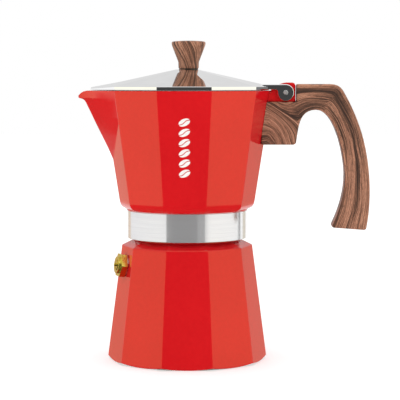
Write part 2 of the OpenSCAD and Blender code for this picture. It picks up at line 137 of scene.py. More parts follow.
def filleted(corners, setbacks, keel=None):
    """A ring along a polygon with rounded corners; points crowd towards the keel corner."""
    count = len(corners)

    def leave(i, j):
        edge = corners[j] - corners[i]
        return corners[i] + edge.normalized() * min(setbacks[i], 0.42 * edge.length)

    ring = []
    for i, corner in enumerate(corners):
        after = (i + 1) % count
        a, b = leave(i, i - 1), leave(i, after)
        for k in range(ARC_POINTS + 1):
            t = k / ARC_POINTS
            ring.append((1 - t) ** 2 * a + 2 * t * (1 - t) * corner + t * t * b)
        end = leave(after, i)
        for k in range(1, SIDE_POINTS + 1):
            t = k / (SIDE_POINTS + 1)
            if keel is not None and after == keel:
                t = 1 - (1 - t) ** 2
            elif keel is not None and i == keel:
                t = t * t
            ring.append(b.lerp(end, t))
    return ring


def circle_like(ring, r):
    """A circle whose points stand at the same angles as the ring's."""
    return [p.normalized() * r for p in ring]


def at_height(ring, z):
    """The ring as points in space; z is one height or one for each point."""
    heights = z if isinstance(z, list) else [z] * len(ring)
    return [(p.x, p.y, h) for p, h in zip(ring, heights)]


def mixed(ring_a, ring_b, share):
    """A ring between two others, point by point."""
    return [a.lerp(b, share) for a, b in zip(ring_a, ring_b)]


def skin(rings, slots=None):
    """Vertices, faces and face slots between successive rings; a ring may be one point."""
    verts, faces, face_slots, starts = [], [], [], []
    for ring in rings:
        starts.append(len(verts))
        verts.extend(ring)
    for g in range(len(rings) - 1):
        a, b = rings[g], rings[g + 1]
        n = max(len(a), len(b))
        for i in range(n):
            j = (i + 1) % n
            if len(a) == 1:
                face = (starts[g], starts[g + 1] + j, starts[g + 1] + i)
            elif len(b) == 1:
                face = (starts[g] + i, starts[g] + j, starts[g + 1])
            else:
                face = (starts[g] + i, starts[g] + j, starts[g + 1] + j, starts[g + 1] + i)
            faces.append(face)
            face_slots.append(slots[g] if slots else 0)
    return verts, faces, face_slots


def thread_ridge(foot_r, crest_r, turn=0.0):
    """A closed helical ridge with blunt ends."""
    steps = 48
    profile = [(foot_r, -0.95), (crest_r, -0.36), (crest_r, 0.36), (foot_r, 0.95)]
    sections = []
    for k in range(int(THREAD_TURNS * steps) + 1):
        a = 2 * math.pi * k / steps + turn
        z = THREAD_START_Z + k * THREAD_PITCH / steps
        sections.append([(r * math.cos(a), r * math.sin(a), z + dz) for r, dz in profile])
    verts = [p for s in sections for p in s]
    n = len(profile)
    faces = [tuple(range(n))]
    for k in range(len(sections) - 1):
        for i in range(n):
            j = (i + 1) % n
            faces.append((k * n + i, k * n + j, (k + 1) * n + j, (k + 1) * n + i))
    last = (len(sections) - 1) * n
    faces.append(tuple(range(last + n - 1, last - 1, -1)))
    return verts, faces


def make_object(name, verts, faces, face_slots=None, merge=0.0):
    """A mesh object in metres from millimetre points, with its normals outwards."""
    mesh = bpy.data.meshes.new(name)
    mesh.from_pydata([Vector(v) * MM for v in verts], [], faces)
    if face_slots:
        mesh.polygons.foreach_set("material_index", face_slots)
    work = bmesh.new()
    work.from_mesh(mesh)
    if merge:
        bmesh.ops.remove_doubles(work, verts=work.verts, dist=merge * MM)
    bmesh.ops.recalc_face_normals(work, faces=work.faces)
    work.to_mesh(mesh)
    work.free()
    obj = bpy.data.objects.new(name, mesh)
    bpy.context.scene.collection.objects.link(obj)
    return obj


def prism(name, outline, y0, y1):
    """A plate between two Y planes with its outline in X and Z."""
    n = len(outline)
    verts = [(x, y, z) for y in (y0, y1) for x, z in outline]
    faces = [tuple(range(n)), tuple(range(2 * n - 1, n - 1, -1))]
    faces += [(i, (i + 1) % n, n + (i + 1) % n, n + i) for i in range(n)]
    return make_object(name, verts, faces)


def rod_z(name, x, y, z0, z1, r):
    """A round rod along Z."""
    count = 48
    ring = [(x + r * math.cos(2 * math.pi * k / count), y + r * math.sin(2 * math.pi * k / count))
            for k in range(count)]
    verts = [(p, q, z) for z in (z0, z1) for p, q in ring]
    faces = [tuple(range(count)), tuple(range(2 * count - 1, count - 1, -1))]
    faces += [(i, (i + 1) % count, count + (i + 1) % count, count + i) for i in range(count)]
    return make_object(name, verts, faces)


def bake(obj):
    """The object's modifiers become its mesh."""
    graph = bpy.context.evaluated_depsgraph_get()
    graph.update()
    mesh = bpy.data.meshes.new_from_object(obj.evaluated_get(graph))
    obj.modifiers.clear()
    obj.data = mesh


def bevel(obj, width, limit, segments=3):
    """Rounds edges sharper than limit degrees."""
    mod = obj.modifiers.new("edge", "BEVEL")
    mod.width = width * MM
    mod.segments = segments
    mod.limit_method = "ANGLE"
    mod.angle_limit = math.radians(limit)
    return mod


def combine(obj, other, operation):
    """A boolean of two closed meshes; the second one is used up."""
    mod = obj.modifiers.new("combine", "BOOLEAN")
    mod.object = other
    mod.operation = operation
    mod.solver = "EXACT"
    bake(obj)
    bpy.data.objects.remove(other)


def append_shell(obj, verts, faces, slot=0):
    """Adds a closed shell to the object's mesh."""
    shell = make_object("shell", verts, faces)
    work = bmesh.new()
    work.from_mesh(obj.data)
    count = len(work.faces)
    work.from_mesh(shell.data)
    work.faces.ensure_lookup_table()
    for face in work.faces[count:]:
        face.material_index = slot
    work.to_mesh(obj.data)
    work.free()
    bpy.data.objects.remove(shell)


def give(obj, materials):
    """Adds materials to the object's mesh."""
    for material in materials:
        obj.data.materials.append(material)


def dress(obj, body, materials=(), stands_for=(), sharp=35, weighted=True):
    """Shading, materials and body of a finished piece."""
    give(obj, materials)
    obj.data.shade_smooth()
    obj.data.set_sharp_from_angle(angle=math.radians(sharp))
    if weighted:
        mod = obj.modifiers.new("normals", "WEIGHTED_NORMAL")
        mod.keep_sharp = True
        mod.weight = 60
    if stands_for:
        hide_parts(*stands_for)
    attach(obj, body)


# ---------------------------------------------------------------- material helpers
def srgb(r, g, b):
    """Linear colour from 8-bit sRGB."""
    out = []
    for value in (r, g, b):
        v = value / 255
        out.append(v / 12.92 if v <= 0.04045 else ((v + 0.055) / 1.055) ** 2.4)
    return (*out, 1.0)


def add(tree, kind, inputs=None, **settings):
    """A node with its settings; an input given as a socket is linked."""
    made = tree.nodes.new(kind)
    for key, value in settings.items():
        setattr(made, key, value)
    for key, value in (inputs or {}).items():
        if isinstance(value, bpy.types.NodeSocket):
            tree.links.new(value, made.inputs[key])
        else:
            made.inputs[key].default_value = value
    return made


def calc(tree, operation, a, b=0.0, c=None):
    """The result of a Math node."""
    inputs = {0: a, 1: b}
    if c is not None:
        inputs[2] = c
    return add(tree, "ShaderNodeMath", inputs, operation=operation).outputs[0]


def vector(tree, x, y, z):
    return add(tree, "ShaderNodeCombineXYZ", {"X": x, "Y": y, "Z": z}).outputs[0]


def noise(tree, coords, scale, detail=2.0, rough=0.5):
    """Grey noise between 0 and 1."""
    node = add(tree, "ShaderNodeTexNoise",
               {"Vector": coords, "Scale": scale, "Detail": detail, "Roughness": rough})
    return node.outputs[0]


def ramp(tree, value, stops):
    """A colour ramp from (position, colour) pairs."""
    node = add(tree, "ShaderNodeValToRGB", {"Fac": value})
    elements = node.color_ramp.elements
    while len(elements) < len(stops):
        elements.new(0.5)
    for element, (at, color) in zip(elements, stops):
        element.position = at
        element.color = color
    return node.outputs[0]


def remap(tree, value, low, high, to_low, to_high, smooth=False):
    """Takes low..high to to_low..to_high, and holds the ends."""
    kind = "SMOOTHSTEP" if smooth else "LINEAR"
    node = add(tree, "ShaderNodeMapRange", {
        "Value": value, "From Min": low, "From Max": high, "To Min": to_low,
        "To Max": to_high}, interpolation_type=kind)
    return node.outputs[0]


def blend_color(tree, share, a, b):
    node = add(tree, "ShaderNodeMix", data_type="RGBA")
    for key, value in ((0, share), (6, a), (7, b)):
        if isinstance(value, bpy.types.NodeSocket):
            tree.links.new(value, node.inputs[key])
        else:
            node.inputs[key].default_value = value
    return node.outputs[2]


def new_material(name, **constants):
    """A Principled material; constants go straight to the shader's own sockets."""
    material = bpy.data.materials.new(name)
    material.use_nodes = True
    tree = material.node_tree
    shader = tree.nodes["Principled BSDF"]
    for key, value in constants.items():
        shader.inputs[key.replace("_", " ")].default_value = value
    return material, tree, shader


def set_bump(tree, shader, height, distance):
    node = add(tree, "ShaderNodeBump", {
        "Height": height, "Distance": distance * MM, "Strength": 1.0})
    tree.links.new(node.outputs[0], shader.inputs["Normal"])


def object_coords(tree):
    """Coordinates in millimetres that move with the piece."""
    coords = add(tree, "ShaderNodeTexCoord").outputs["Object"]
    return add(tree, "ShaderNodeVectorMath", {0: coords, "Scale": 1 / MM},
               operation="SCALE").outputs[0]


def turned_coords(tree, across):
    """Coordinates for lathe marks: fine in radius and height, long round the axis."""
    parts = add(tree, "ShaderNodeSeparateXYZ", {"Vector": object_coords(tree)}).outputs
    square = calc(tree, "ADD", calc(tree, "MULTIPLY", parts[0], parts[0]),
                  calc(tree, "MULTIPLY", parts[1], parts[1]))
    radius = calc(tree, "SQRT", square)
    angle = calc(tree, "ARCTAN2", parts[1], parts[0])
    return vector(tree, calc(tree, "MULTIPLY", radius, across),
                  calc(tree, "MULTIPLY", parts[2], across),
                  calc(tree, "MULTIPLY", calc(tree, "SINE", angle), 0.8))


# ---------------------------------------------------------------- materials
DARK_BAND_ACROSS = 17.2  # where the dark band starts, at the fixed end of the arm
DARK_BAND_DRIFT = 0.046  # how far it comes inwards per unit of length
DARK_BAND_W = 1.25
ROOT_BAND_ACROSS = 3.0  # a second dark band where the grain turns from the block into the arm
ROOT_BAND_W = 1.7
ROOT_BAND_END = (48.0, 60.0)  # the lengths between which it fades out


def enamel():
    """Glossy red enamel, faintly clouded and with a slight orange peel."""
    material, tree, shader = new_material(
        "red_enamel", IOR=1.5, Specular_Tint=(1.0, 0.96, 0.55, 1.0))
    coords = object_coords(tree)
    cloud = noise(tree, coords, 0.02, 2.0)
    mottle = noise(tree, coords, 0.45, 3.0, 0.6)
    tone = calc(tree, "ADD", calc(tree, "MULTIPLY", cloud, 0.6),
                calc(tree, "MULTIPLY", mottle, 0.4))
    color = ramp(tree, tone, [(0.35, (0.585, 0.0066, 0.0112, 1)), (0.65, (0.655, 0.0078, 0.0128, 1))])
    tree.links.new(color, shader.inputs["Base Color"])
    tree.links.new(remap(tree, mottle, 0.3, 0.7, 0.05, 0.11), shader.inputs["Roughness"])
    peel = noise(tree, coords, 0.9, 2.0)
    set_bump(tree, shader, peel, 0.004)
    return material


def turned_aluminium():
    """Bare cast aluminium with fine lathe marks."""
    material, tree, shader = new_material("turned_aluminium", Metallic=0.74)
    marks = noise(tree, turned_coords(tree, 3.2), 1.0, 3.0, 0.65)
    broad = noise(tree, turned_coords(tree, 0.35), 1.0, 2.0)
    color = ramp(tree, marks, [(0.3, (0.80, 0.805, 0.81, 1)), (0.7, (0.90, 0.905, 0.91, 1))])
    tree.links.new(color, shader.inputs["Base Color"])
    mix = calc(tree, "ADD", calc(tree, "MULTIPLY", marks, 0.7), calc(tree, "MULTIPLY", broad, 0.3))
    tree.links.new(remap(tree, mix, 0.3, 0.7, 0.10, 0.20), shader.inputs["Roughness"])
    set_bump(tree, shader, marks, 0.003)
    return material


def polished_aluminium():
    """Near-mirror aluminium with faint smears and turned scratches."""
    material, tree, shader = new_material("polished_aluminium", Metallic=1.0)
    coords = object_coords(tree)
    smear = noise(tree, coords, 0.06, 3.0, 0.6)
    scratch = noise(tree, turned_coords(tree, 5.0), 1.0, 2.0, 0.6)
    color = ramp(tree, smear, [(0.35, (0.90, 0.90, 0.905, 1)), (0.65, (0.945, 0.945, 0.95, 1))])
    tree.links.new(color, shader.inputs["Base Color"])
    mix = calc(tree, "ADD", calc(tree, "MULTIPLY", smear, 0.6), calc(tree, "MULTIPLY", scratch, 0.4))
    tree.links.new(remap(tree, mix, 0.35, 0.65, 0.03, 0.075), shader.inputs["Roughness"])
    set_bump(tree, shader, scratch, 0.0006)
    return material


def wood_look():
    """Printed wood grain; the grain attribute holds along, across and depth in millimetres."""
    material, tree, shader = new_material("wood_look", IOR=1.48, Specular_IOR_Level=0.4)
    grain = add(tree, "ShaderNodeAttribute", attribute_name="grain").outputs["Vector"]
    along, across, depth = add(tree, "ShaderNodeSeparateXYZ", {"Vector": grain}).outputs
    swing = noise(tree, vector(tree, calc(tree, "MULTIPLY", along, 0.045),
                               calc(tree, "MULTIPLY", across, 0.14),
                               calc(tree, "MULTIPLY", depth, 0.10)), 1.0, 2.0)
    across = calc(tree, "MULTIPLY_ADD", swing, 3.0, across)

    def streaks(u, v, w, detail, rough):
        return noise(tree, vector(tree, calc(tree, "MULTIPLY", along, u),
                                  calc(tree, "MULTIPLY", across, v),
                                  calc(tree, "MULTIPLY", depth, w)), 1.0, detail, rough)

    broad = streaks(0.008, 0.30, 0.10, 2.0, 0.5)
    medium = streaks(0.018, 1.3, 0.30, 3.0, 0.6)
    fine = streaks(0.05, 3.4, 0.9, 3.0, 0.7)
    pores = streaks(0.40, 3.4, 1.6, 2.0, 0.7)
    tone = calc(tree, "ADD", calc(tree, "MULTIPLY", broad, 0.24),
                calc(tree, "ADD", calc(tree, "MULTIPLY", medium, 0.38),
                     calc(tree, "MULTIPLY", fine, 0.38)))

    def dark_band(centre, width):
        gap = calc(tree, "DIVIDE", calc(tree, "SUBTRACT", across, centre), width)
        return calc(tree, "EXPONENT", calc(tree, "MULTIPLY", calc(tree, "MULTIPLY", gap, gap), -1.0))

    centre = calc(tree, "MULTIPLY_ADD", along, -DARK_BAND_DRIFT, DARK_BAND_ACROSS)
    tone = calc(tree, "MULTIPLY_ADD", dark_band(centre, DARK_BAND_W), -0.085, tone)
    root = calc(tree, "MULTIPLY", dark_band(ROOT_BAND_ACROSS, ROOT_BAND_W),
                remap(tree, along, *ROOT_BAND_END, 1, 0, True))
    tone = calc(tree, "MULTIPLY_ADD", root, -0.060, tone)
    color = ramp(tree, tone, [
        (0.40, srgb(58, 38, 28)), (0.455, srgb(92, 61, 44)), (0.495, srgb(146, 97, 72)),
        (0.535, srgb(184, 127, 98)), (0.60, srgb(206, 153, 123))])
    flecks = remap(tree, pores, 0.50, 0.62, 0.0, 0.62, smooth=True)
    color = blend_color(tree, flecks, color, srgb(78, 52, 38))
    tree.links.new(color, shader.inputs["Base Color"])
    tree.links.new(remap(tree, tone, 0.4, 0.6, 0.52, 0.40), shader.inputs["Roughness"])
    set_bump(tree, shader, calc(tree, "SUBTRACT", tone, calc(tree, "MULTIPLY", flecks, 0.3)), 0.10)
    return material


def metal(name, low, high, rough, mark_scale=2.0, bump=0.002):
    """Machined metal with fine marks; low and high are its darkest and lightest colours."""
    material, tree, shader = new_material(name, Metallic=1.0)
    coords = object_coords(tree)
    marks = noise(tree, coords, mark_scale, 3.0, 0.6)
    tree.links.new(ramp(tree, marks, [(0.35, low), (0.65, high)]), shader.inputs["Base Color"])
    tree.links.new(remap(tree, marks, 0.3, 0.7, rough * 0.7, rough * 1.4), shader.inputs["Roughness"])
    set_bump(tree, shader, marks, bump)
    return material


def moulded(name, low, high, rough, bump=0.02):
    """A soft or painted non-metal with slight tone and surface variation."""
    material, tree, shader = new_material(name, IOR=1.45)
    coords = object_coords(tree)
    tone = noise(tree, coords, 0.5, 3.0, 0.6)
    tree.links.new(ramp(tree, tone, [(0.35, low), (0.65, high)]), shader.inputs["Base Color"])
    tree.links.new(remap(tree, tone, 0.3, 0.7, rough, rough * 1.3), shader.inputs["Roughness"])
    set_bump(tree, shader, tone, bump)
    return material


ENAMEL = enamel()
TURNED = turned_aluminium()
POLISHED = polished_aluminium()
WOOD = wood_look()
BRASS = metal("brass", (0.62, 0.49, 0.075, 1), (0.80, 0.66, 0.14, 1), 0.16)
STEEL = metal("steel", (0.56, 0.56, 0.57, 1), (0.70, 0.70, 0.71, 1), 0.2)
PIN_STEEL = metal("pin_steel", (0.70, 0.71, 0.72, 1), (0.86, 0.87, 0.88, 1), 0.55, 1.2, 0.02)
# A near-black steel for the knob washer: painted shade standing for the shadowed gap under the knob
SHADE_DARK_STEEL = metal("shade_dark_steel", (0.05, 0.045, 0.04, 1), (0.10, 0.09, 0.08, 1), 0.4)
SPUN = metal("spun_aluminium", (0.76, 0.765, 0.77, 1), (0.86, 0.865, 0.87, 1), 0.26)
SILICONE = moulded("silicone", (0.74, 0.72, 0.67, 1), (0.84, 0.82, 0.77, 1), 0.45)
WHITE = moulded("white_enamel", (0.84, 0.80, 0.76, 1), (0.92, 0.89, 0.86, 1), 0.2, 0.004)
CASTING = (ENAMEL, TURNED)  # painted and bare faces of a casting, in the order of its face slots


# ---------------------------------------------------------------- collector
KEEL_OUT = [
    (SPOUT_START_Z, 47.0), (SPOUT_WIDE_Z, 58.4), (158.0, 62.2), (161.0, 63.7), (163.0, 64.6),
    (164.2, 65.5), (164.9, 66.4), (165.4, 67.8), (165.8, 69.5), (166.1, 69.9), (RIM_Z, 69.9)]
KEEL_IN = [
    (CHANNEL_START_Z, 44.4), (CHANNEL_WIDE_Z, 55.4), (160.4, 60.2), (162.9, 61.6), (164.4, 63.4),
    (165.2, 65.2), (165.6, 66.9), (166.1, 68.3), (RIM_Z, 68.4)]
MOUTH = [(62.0, RIM_Z), (63.8, 170.5), (66.2, 169.9), (67.6, 168.9), (68.6, 167.9), (69.4, 167.0),
         (69.9, 166.5)]
KEEL = 9  # place of the keel corner in a collector ring
SPOUT_WIDE_X = 58.4
SPOUT_SLOPE = 0.475  # how far the spout's keel leans out per unit of height
SPOUT_WALL = 3.4  # thickness at the keel
KEEL_INSET = 1.1  # how far the keel moves when the sides move by 1
FLARE_START_X = 52.0


def collector_r(z):
    """Distance of the collector's corners from the axis."""
    return RIM_R - (RIM_Z - z) * COLLECTOR_SLOPE


def collector_ring(r, keel, share):
    """A ring of the collector; the corner over the spout is drawn out to keel."""
    beyond = Vector((-r * math.cos(STEP), r * math.sin(STEP)))
    beside = beyond + (0.02 + 0.94 * share) * (Vector((-r, 0)) - beyond)
    corners = [Vector((r * math.cos(k * STEP), r * math.sin(k * STEP))) for k in range(-3, 4)]
    corners += [beyond, beside, Vector((-max(keel, r), 0)), Vector((beside.x, -beside.y)),
                Vector((beyond.x, -beyond.y))]
    setbacks = [CORNER_SETBACK] * len(corners)
    setbacks[KEEL] = 1.3
    return filleted(corners, setbacks, KEEL)


def flared(r, plain_keel, keel, share):
    """A ring whose sides stay flat except close to the keel, where they flare to its tip."""
    plain = collector_ring(r, plain_keel, share)
    if keel <= plain_keel:
        return plain
    out = []
    for p, q in zip(plain, collector_ring(r, keel, share)):
        near = max(0.0, (-p.x - FLARE_START_X) / (plain_keel - FLARE_START_X))
        out.append(p.lerp(q, min(near, 1.0) ** 2.5))
    return out


def outer_ring(z, inset=0.0):
    """The collector's outline at a height, moved inwards by inset."""
    share = lookup([(SPOUT_START_Z, 1.0), (SPOUT_WIDE_Z, 0.0)], z)
    if z <= SPOUT_START_Z:
        return collector_ring(collector_r(z) - inset, 0.0, share)
    plain_keel = min(lookup(KEEL_OUT, z), SPOUT_WIDE_X + SPOUT_SLOPE * (z - SPOUT_WIDE_Z))
    return flared(collector_r(z) - inset, plain_keel - KEEL_INSET * inset,
                  lookup(KEEL_OUT, z) - KEEL_INSET * inset, share)


def inner_ring(z, extra=0.0):
    """The outline of the collector's inside at a height, with extra thickness of wall."""
    share = lookup([(CHANNEL_START_Z, 1.0), (CHANNEL_WIDE_Z, 0.0)], z)
    if z <= CHANNEL_START_Z:
        return collector_ring(collector_r(z) - WALL - extra, 0.0, share)
    plain_keel = min(lookup(KEEL_IN, z),
                     SPOUT_WIDE_X - SPOUT_WALL + SPOUT_SLOPE * (z - SPOUT_WIDE_Z))
    return flared(collector_r(z) - WALL - extra, plain_keel + KEEL_INSET * extra,
                  lookup(KEEL_IN, z) + KEEL_INSET * extra, share)


def upper_chamber():
    """The collector's casting, as one closed skin from its column over the rim to the skirt."""
    rim_heights = [lookup(MOUTH, -p.x) if p.x < 0 else RIM_Z for p in outer_ring(RIM_Z)]
    inside_low_z, outside_low_z = 165.9, 165.8  # where the walls start to rise to the rim
    rim_drop = 0.3  # how far under the rim its rounded edges end
    plain = collector_ring(LOW_R, 0.0, 1.0)
    paint, bare = range(len(CASTING))
    rings, slots = [], []

    def put(ring, z, slot):
        rings.append(at_height(ring, z))
        slots.append(slot)

    def round_ring(r, z, slot):
        put(circle_like(plain, r), z, slot)

    def towards_rim(ring_low, ring_high, low_z, share, slot):
        heights = [low_z + (top - rim_drop - low_z) * share for top in rim_heights]
        ring = [a.lerp(b, (h - low_z) / (RIM_Z - low_z))
                for a, b, h in zip(ring_low, ring_high, heights)]
        put(ring, heights, slot)

    # Coffee column, from its top down to the floor
    rings.append([(0, 0, 150)])
    slots.append(bare)
    for r, z in ((5.4, 150), (6.0, 149.8), (6.25, 149.3), (8.9, 101), (9.5, 99.2), (11, 98.3),
                 (14, 98.0), (30, 98.0)):
        round_ring(r, z, bare)
    # Inside wall, rounded into the floor
    for section_z, inset, z in ((98.4, 3.2, 98.0), (98.6, 1.2, 98.5), (100.0, 0.3, 100.0)):
        put(inner_ring(section_z, inset), z, bare)
    for z in (102.0, 115.0, CHANNEL_START_Z, 140.0, CHANNEL_WIDE_Z, 160.4, 162.9, 164.4, 165.2, 165.6):
        put(inner_ring(z), z, bare)
    inside_low, inside_high = inner_ring(166.1), inner_ring(RIM_Z)
    outside_low, outside_high = outer_ring(165.8), outer_ring(RIM_Z)
    put(inside_low, inside_low_z, bare)
    for share in (0.35, 0.7, 1.0):
        towards_rim(inside_low, inside_high, inside_low_z, share, bare)
    # Rim, with both edges rounded
    put(inner_ring(RIM_Z, -0.12), [h - 0.12 for h in rim_heights], bare)
    put(inner_ring(RIM_Z, -0.4), rim_heights, bare)
    put(outer_ring(RIM_Z, 0.5), rim_heights, bare)
    put(outer_ring(RIM_Z, 0.15), [h - 0.12 for h in rim_heights], paint)
    for share in (1.0, 0.7, 0.35):
        towards_rim(outside_low, outside_high, outside_low_z, share, paint)
    put(outside_low, outside_low_z, paint)
    for z in (165.4, 164.9, 164.2, 163.0, 161.0, 158.0, 154.0, 150.0, 142.0, 134.5, 127.0, 113.0,
              101.6):
        put(outer_ring(z), z, paint)
    # The sides round into the band
    for z, r, share in ((100.0, 42.85, 1.0), (98.7, 42.5, 1.0), (97.6, 42.0, 0.97),
                        (96.7, 41.3, 0.88), (96.0, 40.4, 0.65), (95.6, 39.6, 0.3)):
        put(mixed(circle_like(plain, 38.55), collector_ring(r, 0.0, 1.0), share), z, paint)
    round_ring(38.5, 95.35, paint)
    round_ring(37.9, 95.25, bare)
    # Waist band, threaded skirt, gasket seat and the passage to the column
    for r, z in ((37.9, 95.1), (38.2, 94.8), (38.2, 86.0), (38.2, 77.8), (38.05, 77.5),
                 (37.7, 77.4), (35.0, 77.4), (34.6, 77.6), (34.5, 78.0), (34.5, 88.4),
                 (34.2, 88.6), (32.6, 88.6), (32.6, 93.0), (28.8, 93.0), (28.8, 94.6),
                 (14.0, 96.4), (4.2, 97.5), (4.2, 146.6), (3.8, 147.0)):
        round_ring(r, z, bare)
    rings.append([(0, 0, 147)])
    slots.append(bare)

    obj = make_object("collector_casting", *skin(rings, slots))
    give(obj, CASTING)
    slot_cutter = prism("slot_cutter", [(-2.5, 142.0), (2.5, 142.0), (2.5, 147.0), (-2.5, 147.0)],
                        -9.5, 9.5)
    give(slot_cutter, CASTING)
    slot_cutter.data.polygons.foreach_set("material_index", [bare] * len(slot_cutter.data.polygons))
    combine(obj, slot_cutter, "DIFFERENCE")
    lug = prism("lug", [(50.5, 163.5), (68.4, 163.5)] + arc((66.2, 173.4), 2.2, 0, 90, 6)
                + [(62.4, 175.6), (60.6, 175.3), (57.0, 174.2), (53.2, 172.7), (53.0, 169.6),
                   (50.5, 169.6)], -LUG_HALF_W, LUG_HALF_W)
    give(lug, CASTING)
    bevel(lug, 0.6, 40)
    bake(lug)
    combine(obj, lug, "UNION")
    append_shell(obj, *thread_ridge(34.9, 33.4, math.pi), slot=bare)
    dress(obj, "collector", stands_for=["upper_chamber"])


# ---------------------------------------------------------------- boiler
def boiler():
    """The boiler's casting, as one closed skin from its underside over the neck to its floor."""
    paint, bare = range(len(CASTING))
    plain = filleted(polygon(50.0, BOILER_TURN), [CORNER_SETBACK] * SIDES)
    rings, slots = [], []

    def round_ring(r, z, slot=bare):
        rings.append(at_height(circle_like(plain, r), z))
        slots.append(slot)

    def sided(r, z, share=1.0):
        ring = filleted(polygon(r, BOILER_TURN), [CORNER_SETBACK] * SIDES)
        rings.append(at_height(mixed(circle_like(plain, r * FLAT_SHARE), ring, share), z))
        slots.append(paint)

    rings.append([(0, 0, 0.7)])
    slots.append(bare)
    for r, z in ((30, 0.7), (38.5, 0.7), (39.2, 0.5), (39.8, 0.1), (40.2, 0.0), (45.6, 0.0)):
        round_ring(r, z)
    round_ring(BASE_CHAMFER_R - 0.5, 0.0)
    # The turned chamfer cuts the corners higher than the middles of the sides
    foot = filleted(polygon(BOILER_BASE_R, BOILER_TURN), [CORNER_SETBACK] * SIDES)
    cut = [BASE_CHAMFER_SLOPE * (p.length - BASE_CHAMFER_R) for p in foot]
    for inset, rise in ((0.45, -0.12), (0.2, 0.02), (0.06, 0.2), (0.0, 0.45)):
        ring = [p * (1 - (inset + BOILER_SLOPE * max(z + rise, 0)) / p.length)
                for p, z in zip(foot, cut)]
        rings.append(at_height(ring, [max(z + rise, 0.03) for z in cut]))
        slots.append(paint)
    for z in (3.0, 14.0, 36.0, 58.0, 71.0):
        sided(BOILER_BASE_R - z * BOILER_SLOPE, z)
    for r, z in ((41.6, 72.1), (41.4, 72.55), (41.0, 72.85), (36.0, 75.3)):
        sided(r, z)
    sided(35.2, 75.7, share=0.9)
    sided(34.8, 75.9, share=0.7)
    for r, z in ((33.6, 76.0), (33.4, 76.2), (33.3, 76.6), (33.25, 77.6)):
        round_ring(r, z, paint)
    for r, z in ((33.0, 77.7), (33.0, 87.2), (32.7, 87.75),
                 (32.2, 88.0), (29.2, 88.0), (28.8, 87.6), (28.8, 74.5), (29.3, 73.6),
                 (36.2, 70.2), (36.6, 69.0), (44.8, 6.6), (44.4, 5.0), (42.8, 3.9), (40.6, 3.6)):
        round_ring(r, z)
    rings.append([(0, 0, 3.6)])
    slots.append(bare)
    obj = make_object("boiler_casting", *skin(rings, slots))
    give(obj, CASTING)
    append_shell(obj, *thread_ridge(32.6, 34.1), slot=bare)
    dress(obj, "boiler", stands_for=["boiler"])


